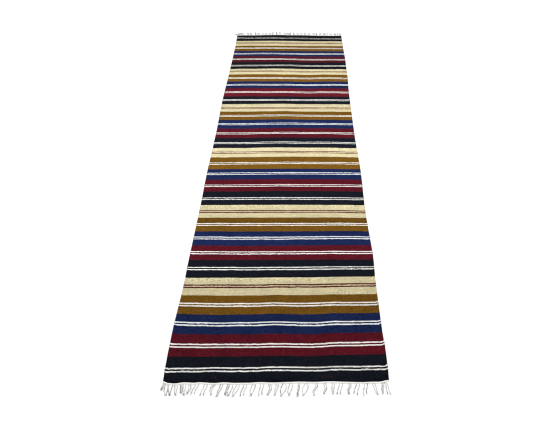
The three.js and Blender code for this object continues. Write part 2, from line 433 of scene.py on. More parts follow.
def row_shares():
    """Shares of the way along for the rows of the cloth's mesh, which stand close where pinstripes turn."""
    edges = band_edges()
    rows = np.concatenate([edges] + [pin_middles() + away for away in ROWS_FROM_MIDDLE])
    return np.sort(rows) / CLOTH_LENGTH


def smooth(share):
    share = np.clip(share, 0.0, 1.0)
    return share * share * (3.0 - 2.0 * share)


def swell(stations, values, at):
    """A smooth line through the values at the stations."""
    at = np.clip(at, stations[0], stations[-1])
    after = np.clip(np.searchsorted(stations, at), 1, len(stations) - 1)
    before = after - 1
    share = smooth((at - stations[before]) / (stations[after] - stations[before]))
    return values[before] + (values[after] - values[before]) * share


def selvedge(side, along):
    if side == "left":
        return -CLOTH_WIDTH / 2 + swell(SELVEDGE_ALONG, SELVEDGE_LEFT, along)
    return CLOTH_WIDTH / 2 + swell(SELVEDGE_ALONG, SELVEDGE_RIGHT, along)


def end_line(end, across):
    if end == "near":
        return -CLOTH_LENGTH / 2 + swell(END_ACROSS, END_NEAR, across)
    return CLOTH_LENGTH / 2 + swell(END_ACROSS, END_FAR, across)


def on_end(end, across, outward):
    """A point on an end's line, at a distance across the rug, moved out from the cloth along Y."""
    along = 0.0 if end == "near" else CLOTH_LENGTH
    away = -1.0 if end == "near" else 1.0
    left = selvedge("left", along)
    right = selvedge("right", along)
    x = left + (right - left) * across / CLOTH_WIDTH
    return np.stack([x, end_line(end, across) + away * outward], axis=-1)


def cloth_place(u, w):
    """Where the cloth is, for a share of the way across and a share of the way along."""
    along = w * CLOTH_LENGTH
    left = selvedge("left", along)
    right = selvedge("right", along)
    near = end_line("near", u * CLOTH_WIDTH)
    far = end_line("far", u * CLOTH_WIDTH)
    return left + u * (right - left), near + w * (far - near)


def selvedge_nubs(u, w):
    """How far the cloth pokes out sideways where its pinstripes turn."""
    along = w * CLOTH_LENGTH
    pins = np.sort(np.concatenate([pin_middles() - PIN_OFFSET, pin_middles() + PIN_OFFSET]))
    after = np.clip(np.searchsorted(pins, along), 1, len(pins) - 1)
    away = np.minimum(np.abs(along - pins[after - 1]), np.abs(along - pins[after]))
    side = smooth((u - 1) * RIBS / NUB_RIBS + 1) - smooth(1 - u * RIBS / NUB_RIBS)
    size = NUB_REACH * (1 + NUB_UNEVENNESS * soft_noise(u * CLOTH_WIDTH, along, 300, 11, 6))
    return side * size * np.exp(-((away / NUB_LENGTH) ** 2))


def soft_noise(x, y, cell_x, cell_y, salt):
    """Smooth seeded noise from -1 to 1 over a lattice of cells of the given size."""
    lattice = np.random.default_rng(SEED * 1000 + salt).uniform(-1, 1, (LATTICE, LATTICE))
    across = x / cell_x + 500.0
    along = y / cell_y + 500.0
    column = np.floor(across).astype(int)
    row = np.floor(along).astype(int)
    right = smooth(across - column)
    up = smooth(along - row)

    def corner(i, j):
        return lattice[(row + j) % LATTICE, (column + i) % LATTICE]

    low = corner(0, 0) * (1 - right) + corner(1, 0) * right
    high = corner(0, 1) * (1 - right) + corner(1, 1) * right
    return low * (1 - up) + high * up


def weft_sway(u, along):
    """How far a weft lies from its level place, towards the far end."""
    row_values = np.stack([swell(SWAY_ALONG, SWAY[:, i], along) for i in range(len(SWAY_ACROSS))], axis=-1)
    u = np.clip(u, 0.0, 1.0)
    after = np.clip(np.searchsorted(SWAY_ACROSS, u), 1, len(SWAY_ACROSS) - 1)
    before = after - 1
    share = smooth((u - SWAY_ACROSS[before]) / (SWAY_ACROSS[after] - SWAY_ACROSS[before]))
    low = np.take_along_axis(row_values, before[..., None], axis=-1)[..., 0]
    high = np.take_along_axis(row_values, after[..., None], axis=-1)[..., 0]
    jog = RIGHT_JOG * smooth((u - 1 + JOG_SHARE) / JOG_SHARE)
    jog = jog + LEFT_JOG * smooth((JOG_SHARE - u) / JOG_SHARE)
    jog = jog * smooth(1 - along / JOG_FADE)
    x = u * CLOTH_WIDTH
    fine = SWAY_UNEVENNESS * soft_noise(x, along, 70, 120, 1)
    fine = fine + SWAY_FINE_UNEVENNESS * soft_noise(x, along, 28, 60, 2)
    return low + (high - low) * share + jog + fine


def cloth_lift(u, w):
    """How far the cloth lies off the floor, because it isn't quite flat."""
    x = u * CLOTH_WIDTH
    y = w * CLOTH_LENGTH
    ripple = np.clip(soft_noise(x, y, 210, 150, 3) + 0.5 * soft_noise(x, y, 90, 70, 4), 0, 1)
    from_selvedge = np.minimum(u, 1 - u) * CLOTH_WIDTH
    nearest_selvedge = np.where(u < 0.5, 0, CLOTH_WIDTH)
    curl = np.clip(soft_noise(nearest_selvedge, y, 300, 130, 5), 0, 1)
    curl = curl * smooth(1 - from_selvedge / CURL_FADE)
    off_ends = smooth(np.minimum(w, 1 - w) * CLOTH_LENGTH / RIPPLE_FADE)
    rippled = RIPPLE_LIFT * smooth(ripple) * smooth(from_selvedge / RIPPLE_FADE)
    return (rippled + SELVEDGE_LIFT * curl) * off_ends


# Meshes

def new_piece(name, points, faces, material):
    """A smooth mesh object from points in millimetres, which rides on the part's one body."""
    mesh = bpy.data.meshes.new(name)
    mesh.from_pydata((np.asarray(points) * MM).tolist(), [], faces)
    mesh.validate()
    mesh.update()
    mesh.shade_smooth()
    mesh.materials.append(material)
    piece = bpy.data.objects.new(name, mesh)
    bpy.context.scene.collection.objects.link(piece)
    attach(piece, "root")
    return piece


def zip_sides(fine, coarse):
    """Triangles between two rows of vertices that run the same way, the fine one on the outside."""
    faces = []
    i = j = 0
    while i < len(fine) - 1 or j < len(coarse) - 1:
        fine_next = (i + 1) / (len(fine) - 1)
        coarse_next = (j + 1) / (len(coarse) - 1)
        if j == len(coarse) - 1 or (i < len(fine) - 1 and fine_next <= coarse_next):
            faces.append((fine[i], coarse[j], fine[i + 1]))
            i += 1
        else:
            faces.append((fine[i], coarse[j], coarse[j + 1]))
            j += 1
    return faces


def border(rows, columns):
    """The four sides of a grid of vertex numbers, counter-clockwise from its near left corner."""
    grid = np.arange(rows * columns).reshape(rows, columns)
    return [grid[0], grid[:, -1], grid[-1, ::-1], grid[::-1, 0]]


def quads_of(grid, upward=True):
    """The faces between neighbouring rows and columns of a grid of vertex numbers."""
    corners = [grid[:-1, :-1], grid[:-1, 1:], grid[1:, 1:], grid[1:, :-1]]
    if not upward:
        corners = [corners[0], corners[3], corners[2], corners[1]]
    return [tuple(face) for face in np.stack(corners, axis=-1).reshape(-1, 4).tolist()]


def woven_runner():
    columns = 2 * RIBS + 1
    shares = row_shares()
    rows = len(shares)
    u, w = np.meshgrid(np.linspace(0, 1, columns), shares)
    x, y = cloth_place(u, w)
    x += selvedge_nubs(u, w)
    lift = cloth_lift(u, w)
    crest = np.where(np.arange(columns) % 2 == 1, RIB_RELIEF / 2, -RIB_RELIEF / 2)[None, :]
    rib_at = np.minimum(u, 1 - u) * RIBS
    rim = SELVEDGE_SWELL * smooth((SELVEDGE_RIBS + 1 - rib_at) / 2)
    top = lift + CLOTH_TOP + crest + rim
    x_in = x.copy()
    y_in = y.copy()
    x_in[:, 0] += EDGE_ROUND
    x_in[:, -1] -= EDGE_ROUND
    y_in[0] += EDGE_ROUND
    y_in[-1] -= EDGE_ROUND
    top[:, 0] -= CORNER_DROP
    top[:, -1] -= CORNER_DROP

    points = [np.stack([x_in, y_in, top], axis=-1).reshape(-1, 3)]
    us = [u.ravel()]
    ws = [w.ravel()]
    faces = quads_of(np.arange(rows * columns).reshape(rows, columns))
    groups = [0] * len(faces)

    # The rim goes round in rings, from the top grid's border down to the underside
    sides = border(rows, columns)
    loop = np.concatenate([side[:-1] for side in sides])
    loop_u = u.ravel()[loop]
    loop_w = w.ravel()[loop]
    loop_x, loop_y = cloth_place(loop_u, loop_w)
    loop_x += selvedge_nubs(loop_u, loop_w)
    inner_x = x_in.ravel()[loop]
    inner_y = y_in.ravel()[loop]
    loop_lift = lift.ravel()[loop]
    count = len(loop)
    ring_above = loop
    for share_out, height in RIM_RINGS:
        ring_x = inner_x + (loop_x - inner_x) * share_out
        ring_y = inner_y + (loop_y - inner_y) * share_out
        start = sum(len(p) for p in points)
        points.append(np.stack([ring_x, ring_y, loop_lift + height], axis=-1))
        us.append(loop_u)
        ws.append(loop_w)
        ring = np.arange(start, start + count)
        for k in range(count):
            after = (k + 1) % count
            faces.append((int(ring_above[k]), int(ring[k]), int(ring[after]), int(ring_above[after])))
            groups.append(1)
        ring_above = ring

    # The underside is coarse, and a row of triangles joins it to the rim
    under_u, under_w = np.meshgrid(
        np.linspace(UNDER_INSET / CLOTH_WIDTH, 1 - UNDER_INSET / CLOTH_WIDTH, UNDER_COLUMNS),
        np.linspace(UNDER_INSET / CLOTH_LENGTH, 1 - UNDER_INSET / CLOTH_LENGTH, UNDER_ROWS),
    )
    under_x, under_y = cloth_place(under_u, under_w)
    start = sum(len(p) for p in points)
    points.append(np.stack([under_x, under_y, cloth_lift(under_u, under_w)], axis=-1).reshape(-1, 3))
    us.append(under_u.ravel())
    ws.append(under_w.ravel())
    under = start + np.arange(UNDER_ROWS * UNDER_COLUMNS).reshape(UNDER_ROWS, UNDER_COLUMNS)
    quads = quads_of(under, upward=False)
    faces += quads
    groups += [2] * len(quads)
    first = 0
    closed_ring = np.append(ring_above, ring_above[0])
    for fine_side, coarse_side in zip(sides, border(UNDER_ROWS, UNDER_COLUMNS)):
        fine = closed_ring[first:first + len(fine_side)].tolist()
        joined = zip_sides(fine, (start + coarse_side).tolist())
        faces += joined
        groups += [2] * len(joined)
        first += len(fine_side) - 1

    points = np.concatenate(points)
    us = np.concatenate(us)
    ws = np.concatenate(ws)
    piece = new_piece("woven_runner_cloth", points, faces, striped_wool())
    mark_weave(piece.data, us, ws)
    map_for_baking(piece.data, us, ws, groups)
    return piece


def mark_weave(mesh, us, ws):
    """Gives each vertex its place in the weave, and what holds for the band it is in."""
    edges = band_edges()
    widths = np.diff(edges)
    _, y = cloth_place(us, ws)
    along = y + CLOTH_LENGTH / 2
    weft = along - weft_sway(us, along)
    band = np.interp(weft, edges, np.arange(len(edges)))
    band = np.clip(band, BAND_MARGIN, len(widths) - BAND_MARGIN)
    number = np.floor(band).astype(int)
    repeat = number // BANDS_IN_REPEAT
    yarn = number % BANDS_IN_REPEAT
    measures = {
        "weft_mm": weft,
        "rib_place": us * RIBS,
        "band_place": band,
        "band_width": widths[number],
        "pin_shift": PIN_SHIFTS[number],
        "pin_half": PIN_HALF_WIDTHS[repeat] * PIN_SHARES[yarn],
        "repeat_tone": REPEAT_TONES[repeat],
        "band_tone": band_tones(BAND_TONES)[number],
        "far_half_tone": band_tones(FAR_HALF_TONES)[number],
        "grain": YARN_GRAINS[yarn],
    }
    for name, values in measures.items():
        attribute = mesh.attributes.new(name, "FLOAT", "POINT")
        attribute.data.foreach_set("value", values.astype(np.float32))


def map_for_baking(mesh, us, ws, groups):
    """A map on which each warp rib of the upper face is one pixel wide: the face in three strips, then the
    underside and the rim."""
    strip_pitch = RIBS + MAP_GAP
    corner_vertex = np.empty(len(mesh.loops), int)
    mesh.loops.foreach_get("vertex_index", corner_vertex)
    totals = np.empty(len(mesh.polygons), int)
    mesh.polygons.foreach_get("loop_total", totals)
    starts = np.empty(len(mesh.polygons), int)
    mesh.polygons.foreach_get("loop_start", starts)
    group = np.repeat(np.array(groups), totals)
    face_w = np.add.reduceat(ws[corner_vertex], starts) / totals
    face_u = np.add.reduceat(us[corner_vertex], starts) / totals
    corner_face_w = np.repeat(face_w, totals)
    corner_face_u = np.repeat(face_u, totals)
    u = us[corner_vertex]
    w = ws[corner_vertex]

    cuts = band_edges()[MAP_STRIP_BANDS] / CLOTH_LENGTH
    strip = np.clip(np.searchsorted(cuts, corner_face_w) - 1, 0, MAP_STRIPS - 1)
    top_x = (MAP_MARGIN + strip * strip_pitch + u * RIBS) / MAP_SIZE
    top_y = MAP_LOW + MAP_SPAN * (w - cuts[strip]) / (cuts[strip + 1] - cuts[strip])

    under_x = (MAP_MARGIN + MAP_STRIPS * strip_pitch + u * MAP_UNDER_WIDTH) / MAP_SIZE
    under_y = MAP_LOW + MAP_SPAN * w

    # The rim: how high a vertex lies says how far across its strip it goes
    heights = np.empty(3 * len(mesh.vertices))
    mesh.vertices.foreach_get("co", heights)
    height_share = np.clip(heights.reshape(-1, 3)[corner_vertex, 2] / (RIM_HEIGHT * MM), 0, 1)
    at_left = corner_face_u < EDGE_SHARE
    at_right = corner_face_u > 1 - EDGE_SHARE
    left_start, right_start, end_start = MAP_RIM_STARTS
    rim_start = np.where(at_left, left_start, np.where(at_right, right_start, end_start))
    rim_x = (rim_start + height_share * MAP_RIM_WIDTH) / MAP_SIZE
    end_y = np.where(corner_face_w < 0.5, 0.01 + 0.45 * u, 0.54 + 0.45 * u)
    rim_y = np.where(at_left | at_right, MAP_LOW + MAP_SPAN * w, end_y)

    map_x = np.where(group == 0, top_x, np.where(group == 1, rim_x, under_x))
    map_y = np.where(group == 0, top_y, np.where(group == 1, rim_y, under_y))
    layer = mesh.uv_layers.new(name="OFBake")
    layer.data.foreach_set("uv", np.stack([map_x, map_y], axis=-1).astype(np.float32).ravel())


class Yarns:
    """Gathers tubes into one mesh, with a map that runs round and along each of them."""

    def __init__(self):
        self.points = []
        self.faces = []
        self.map = []
        self.grime_and_shade = []
        self.count = 0

    def add(self, path, radii, sides, reference, grime_and_shade=0.0):
        path = np.asarray(path, float)
        radii = np.broadcast_to(radii, (len(path),))
        tangent = np.gradient(path, axis=0)
        tangent /= np.linalg.norm(tangent, axis=1)[:, None]
        aside = np.cross(tangent, np.asarray(reference, float))
        aside /= np.linalg.norm(aside, axis=1)[:, None]
        above = np.cross(aside, tangent)
        angles = 2 * np.pi * np.arange(sides) / sides
        ring = aside[:, None] * np.cos(angles)[None, :, None]
        ring = ring + above[:, None] * np.sin(angles)[None, :, None]
        points = path[:, None] + ring * radii[:, None, None]
        steps = np.linalg.norm(np.diff(path, axis=0), axis=1)
        along = np.concatenate([[0.0], np.cumsum(steps)])
        rings = len(path)
        for i in range(rings - 1):
            for j in range(sides):
                after = (j + 1) % sides
                a = self.count + i * sides
                b = a + sides
                self.faces.append((a + j, b + j, b + after, a + after))
                start = j / sides
                stop = (j + 1) / sides
                low = along[i]
                high = along[i + 1]
                self.map += [(start, low), (start, high), (stop, high), (stop, low)]
        first = self.count
        last = self.count + (rings - 1) * sides
        self.faces.append(tuple(first + j for j in range(sides)))
        self.map += [(j / sides, 0.0) for j in range(sides)]
        self.faces.append(tuple(last + j for j in reversed(range(sides))))
        self.map += [(j / sides, along[-1]) for j in reversed(range(sides))]
        self.points.append(points.reshape(-1, 3))
        self.grime_and_shade.append(np.repeat(np.broadcast_to(grime_and_shade, (rings,)), sides).astype(np.float32))
        self.count += rings * sides

    def piece(self, name, material):
        piece = new_piece(name, np.concatenate(self.points), self.faces, material)
        layer = piece.data.uv_layers.new(name="yarn")
        layer.data.foreach_set("uv", np.asarray(self.map, np.float32).ravel())
        # Each vertex's share of grey: grime and painted shade
        attribute = piece.data.attributes.new("grime_and_shade", "FLOAT", "POINT")
        attribute.data.foreach_set("value", np.concatenate(self.grime_and_shade))
        return piece


# The fringe

def uneven(index, salt):
    """A number from -1 to 1 that looks unplanned but is the same every time, as in part.mjs."""
    wave = math.sin(index * 12.9898 + salt * 78.233) * 43758.5453
    return 2 * (wave - math.floor(wave)) - 1


def flat_normal(line):
    """The way to the side of each point of a line on the floor."""
    heading = np.gradient(line, axis=0)
    heading /= np.linalg.norm(heading, axis=1)[:, None]
    return np.stack([-heading[:, 1], heading[:, 0]], axis=-1)


def strand(yarns, body_line, tail_tip, grime_and_shade, chance):
    """Twisted yarns from the end cord through the knot, which then part and end unevenly."""
    body_steps = np.linalg.norm(np.diff(body_line, axis=0), axis=1)
    body_length = body_steps.sum()
    distance = np.concatenate([[0.0], np.cumsum(body_steps)])
    aside = flat_normal(body_line)
    near_knot = smooth(1 - (body_length - distance) / KNOT_RUN_IN)
    middle_height = STRAND_HALF_HEIGHT + YARN_RADIUS + KNOT_RISE * near_knot
    first_turn = chance.uniform(0, 2 * np.pi)
    knot = body_line[-1]
    tail_way = tail_tip - knot
    tail_length = np.linalg.norm(tail_way)
    tail_way = tail_way / tail_length
    tail_aside = np.array([-tail_way[1], tail_way[0]])
    for k in range(YARNS_IN_STRAND):
        turn = first_turn + 2 * np.pi * (k / YARNS_IN_STRAND + distance / STRAND_TWIST_PITCH)
        wander = 1 + YARN_WANDER * chance.uniform(-1, 1, len(distance))
        out = STRAND_HALF_WIDTH * (1 - KNOT_PINCH * near_knot) * wander
        flat = body_line + aside * (out * np.cos(turn))[:, None]
        height = middle_height + STRAND_HALF_HEIGHT * np.sin(turn)
        body = np.column_stack([flat, height])
        share = np.linspace(0, 1, TAIL_RINGS + 1)[1:]
        side = (k - (YARNS_IN_STRAND - 1) / 2) / ((YARNS_IN_STRAND - 1) / 2)
        fan = side * TAIL_FAN * chance.uniform(0.5, 1.1)
        reach = tail_length * chance.uniform(*TAIL_REACHES)
        curl = TAIL_CURL * chance.uniform(-1, 1)
        start_aside = out[-1] * math.cos(turn[-1])
        offset = start_aside + (fan - start_aside) * share + curl * np.sin(np.pi * share)
        flat = knot + tail_way * (reach * share)[:, None] + tail_aside * offset[:, None]
        low = YARN_RADIUS * (1 - (1 - TAIL_TIP_SHARE) * share) + TAIL_CLEARANCE
        hop = TAIL_HOP * chance.uniform(0, 1) * np.sin(np.pi * share)
        height = low + (height[-1] - low) * (1 - smooth(share * TAIL_SETTLING)) + hop
        tail = np.column_stack([flat, height])
        radii = np.concatenate([
            np.full(len(body), YARN_RADIUS),
            YARN_RADIUS * (1 - (1 - TAIL_TIP_SHARE) * share ** 2),
        ])
        grimes_and_shade = np.concatenate([np.full(len(body), grime_and_shade), grime_and_shade + TAIL_GRIME_AND_SHADE * share])
        yarns.add(np.concatenate([body, tail]), radii, YARN_SIDES, (0, 0, 1), grimes_and_shade)


def knot(yarns, centre, way, half_width, grime_and_shade, chance):
    """Two crossing wraps of yarns, which is how the outside of a pulled overhand knot looks."""
    aside = np.array([-way[1], way[0]])
    centre_height = KNOT_HALF_HEIGHT + KNOT_WRAP_RADIUS
    for wrap, tilt in enumerate((KNOT_TILT, -KNOT_TILT)):
        size = 1.0 - 0.1 * wrap
        turns = KNOT_WRAP_TURNS + 0.1 * chance.uniform(-1, 1)
        turn = np.linspace(-0.5 * np.pi, -0.5 * np.pi + 2 * np.pi * turns, KNOT_WRAP_RINGS)
        for k in range(KNOT_WRAPS):
            across = half_width * size * np.cos(turn)
            up = centre_height + KNOT_HALF_HEIGHT * size * np.sin(turn)
            spot = (k - (KNOT_WRAPS - 1) / 2) * KNOT_WRAP_SPACING
            forward = spot + (0.9 if wrap else -0.5) + tilt * across + 0.35 * np.sin(2 * turn + k)
            flat = centre + aside * across[:, None] + way * forward[:, None]
            radii = KNOT_WRAP_RADIUS * (1 + 0.08 * chance.uniform(-1, 1, len(turn)))
            yarns.add(np.column_stack([flat, up]), radii, YARN_SIDES, (way[0], way[1], 0), grime_and_shade)


# A knot's grey: grime and painted shade under its loops
def knot_grime_and_shade(end, chance):
    return END_GRIME_AND_SHADE[end] + KNOT_GRIME_AND_SHADE + KNOT_GRIME_AND_SHADE_CHANCE * chance.uniform(-1, 1)


def tassel(yarns, end, index, row, chance):
    root, lean, reach, kind_name = row
    bow, bend, sway, spread, apart, step = TASSEL_KINDS[kind_name]
    away = -1.0 if end == "near" else 1.0
    foot = apart or STRANDS_IN_KNOT

    def cord_face(across):
        return on_end(end, across, PIECE_GAP + CORD_WIDTH)

    def place(side, share):
        half = (spread + (foot - spread) * share) / 2 + bow * np.sin(np.pi * share)
        drift = lean * share + bend * np.sin(np.pi * share) + sway * np.sin(2 * np.pi * share)
        start = cord_face(root + side * spread / 2)[1]
        stop = cord_face(root)[1] + away * (reach - side * step)
        x = cord_face(root)[0] + side * half + drift
        return np.stack([x, start + (stop - start) * share], axis=-1)

    way = np.array([lean, away * reach]) / math.hypot(lean, reach)
    for side in (-1.0, 1.0):
        in_cord = place(side, 0.0) + np.array([0.0, -away * STRAND_ROOT_DEPTH])
        body = place(side, np.linspace(0, 1, STRAND_RINGS))
        salt = SALTS["left_tail"] if side < 0 else SALTS["right_tail"]
        tail_length = TAIL_LENGTH + TAIL_UNEVENNESS * uneven(index, salt)
        tip = body[-1]
        tail_tip = tip + np.array([side * TAIL_SPLAY + lean / reach * tail_length, away * tail_length])
        # A strand's grey: grime and painted shade
        strand_grime_and_shade = END_GRIME_AND_SHADE[end] + STRAND_GRIME_AND_SHADE_CHANCE * chance.uniform(-1, 1)
        strand(yarns, np.concatenate([in_cord[None], body]), tail_tip, strand_grime_and_shade, chance)
        if apart:
            knot(yarns, tip, way, SMALL_KNOT_HALF_WIDTH, knot_grime_and_shade(end, chance), chance)
    if not apart:
        knot(yarns, place(0.0, 1.0), way, KNOT_HALF_WIDTH, knot_grime_and_shade(end, chance), chance)


def tassels(end, rows, material):
    yarns = Yarns()
    chance = np.random.default_rng(SEED + SALTS[end])
    for index, row in enumerate(rows):
        tassel(yarns, end, index, row, chance)
    piece = yarns.piece(f"{end}_fringe_tassels", material)
    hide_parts(f"{end}_fringe")
    return piece


def end_cord(end, material):
    """Two twined ropes side by side along an end, twisted opposite ways and thinner at their ends."""
    yarns = Yarns()
    away = -1.0 if end == "near" else 1.0
    across = np.linspace(1.0, CLOTH_WIDTH - 1.0, PLY_RINGS)
    rope_width = CORD_WIDTH / CORD_ROPES
    for rope in range(CORD_ROPES):
        middle = on_end(end, across, PIECE_GAP + rope_width * (rope + 0.5))
        hand = 1 if rope == 0 else -1
        for ply in range(2):
            turn = hand * 2 * np.pi * across / PLY_PITCH + np.pi * ply
            flat = middle + np.array([0.0, away]) * (PLY_ORBIT * np.cos(turn))[:, None]
            height = PLY_RADIUS + PLY_ORBIT + PLY_ORBIT * np.sin(turn)
            from_end = np.minimum(across, CLOTH_WIDTH - across)
            radii = PLY_RADIUS * (0.5 + 0.5 * smooth(from_end / 3.0))
            yarns.add(np.column_stack([flat, height]), radii, PLY_SIDES, (0, 0, 1))
    piece = yarns.piece(f"{end}_fringe_cord", material)
    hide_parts(f"{end}_fringe")
    return piece


# Materials

def linear(name):
    """A yarn's colour in linear light."""
    shares = np.array(PAINTS[name]) / 255.0
    light = np.where(shares <= 0.04045, shares / 12.92, ((shares + 0.055) / 1.055) ** 2.4)
    return (*light.tolist(), 1.0)


class Graph:
    """Short ways to add shader nodes to a new material."""

    def __init__(self, name):
        self.material = bpy.data.materials.new(name)
        self.material.use_nodes = True
        self.tree = self.material.node_tree
        self.shader = self.tree.nodes["Principled BSDF"]

    def node(self, kind, **settings):
        node = self.tree.nodes.new(kind)
        for key, value in settings.items():
            setattr(node, key, value)
        return node

    def plug(self, value, socket):
        if isinstance(value, bpy.types.NodeSocket):
            self.tree.links.new(value, socket)
        elif value is not None:
            socket.default_value = value

    def math(self, operation, a, b=None, c=None):
        node = self.node("ShaderNodeMath", operation=operation)
        for value, socket in zip((a, b, c), node.inputs):
            self.plug(value, socket)
        return node.outputs[0]

    def mix(self, share, a, b, blend="MIX"):
        node = self.node("ShaderNodeMix", data_type="RGBA", blend_type=blend)
        self.plug(share, node.inputs[0])
        self.plug(a, node.inputs[6])
        self.plug(b, node.inputs[7])
        return node.outputs[2]

    def attribute(self, name):
        return self.node("ShaderNodeAttribute", attribute_name=name).outputs["Fac"]

    def vector(self, x, y, z=0.0):
        node = self.node("ShaderNodeCombineXYZ")
        self.plug(x, node.inputs[0])
        self.plug(y, node.inputs[1])
        self.plug(z, node.inputs[2])
        return node.outputs[0]

    def noise(self, place, scale, detail=2.0, roughness=0.5):
        """Noise from -0.5 to 0.5 or so."""
        node = self.node("ShaderNodeTexNoise")
        self.plug(place, node.inputs["Vector"])
        self.plug(scale, node.inputs["Scale"])
        self.plug(detail, node.inputs["Detail"])
        self.plug(roughness, node.inputs["Roughness"])
        return self.math("SUBTRACT", node.outputs["Fac"], 0.5)

    def chance(self, place):
        """A number from 0 to 1 for each whole-number place."""
        node = self.node("ShaderNodeTexWhiteNoise", noise_dimensions="3D")
        self.plug(place, node.inputs["Vector"])
        return node.outputs["Value"]

    def scaled(self, x, x_scale, y, y_scale, z=0.0):
        """A place for noise, stretched across and along."""
        return self.vector(self.math("MULTIPLY", x, x_scale), self.math("MULTIPLY", y, y_scale), z)

    def clamp(self, value, low, high):
        return self.math("MINIMUM", self.math("MAXIMUM", value, low), high)

    def bump(self, height):
        """Relief of a height in millimetres."""
        bump = self.node("ShaderNodeBump")
        self.plug(1.0, bump.inputs["Strength"])
        self.plug(MM, bump.inputs["Distance"])
        self.plug(height, bump.inputs["Height"])
        self.plug(bump.outputs[0], self.shader.inputs["Normal"])

    def hump(self, share):
        """0 at the ends of a share and 1 in its middle."""
        centred = self.math("MULTIPLY_ADD", share, 2.0, -1.0)
        return self.math("SUBTRACT", 1.0, self.math("MULTIPLY", centred, centred))

    def steps(self, share, paints):
        """The paint whose equal part of the way from 0 to 1 the share is in."""
        ramp = self.node("ShaderNodeValToRGB")
        ramp.color_ramp.interpolation = "CONSTANT"
        stops = ramp.color_ramp.elements
        for i, name in enumerate(paints):
            stop = stops[i] if i < 2 else stops.new(i / len(paints))
            stop.position = i / len(paints)
            stop.color = linear(name)
        self.plug(share, ramp.inputs[0])
        return ramp.outputs[0]


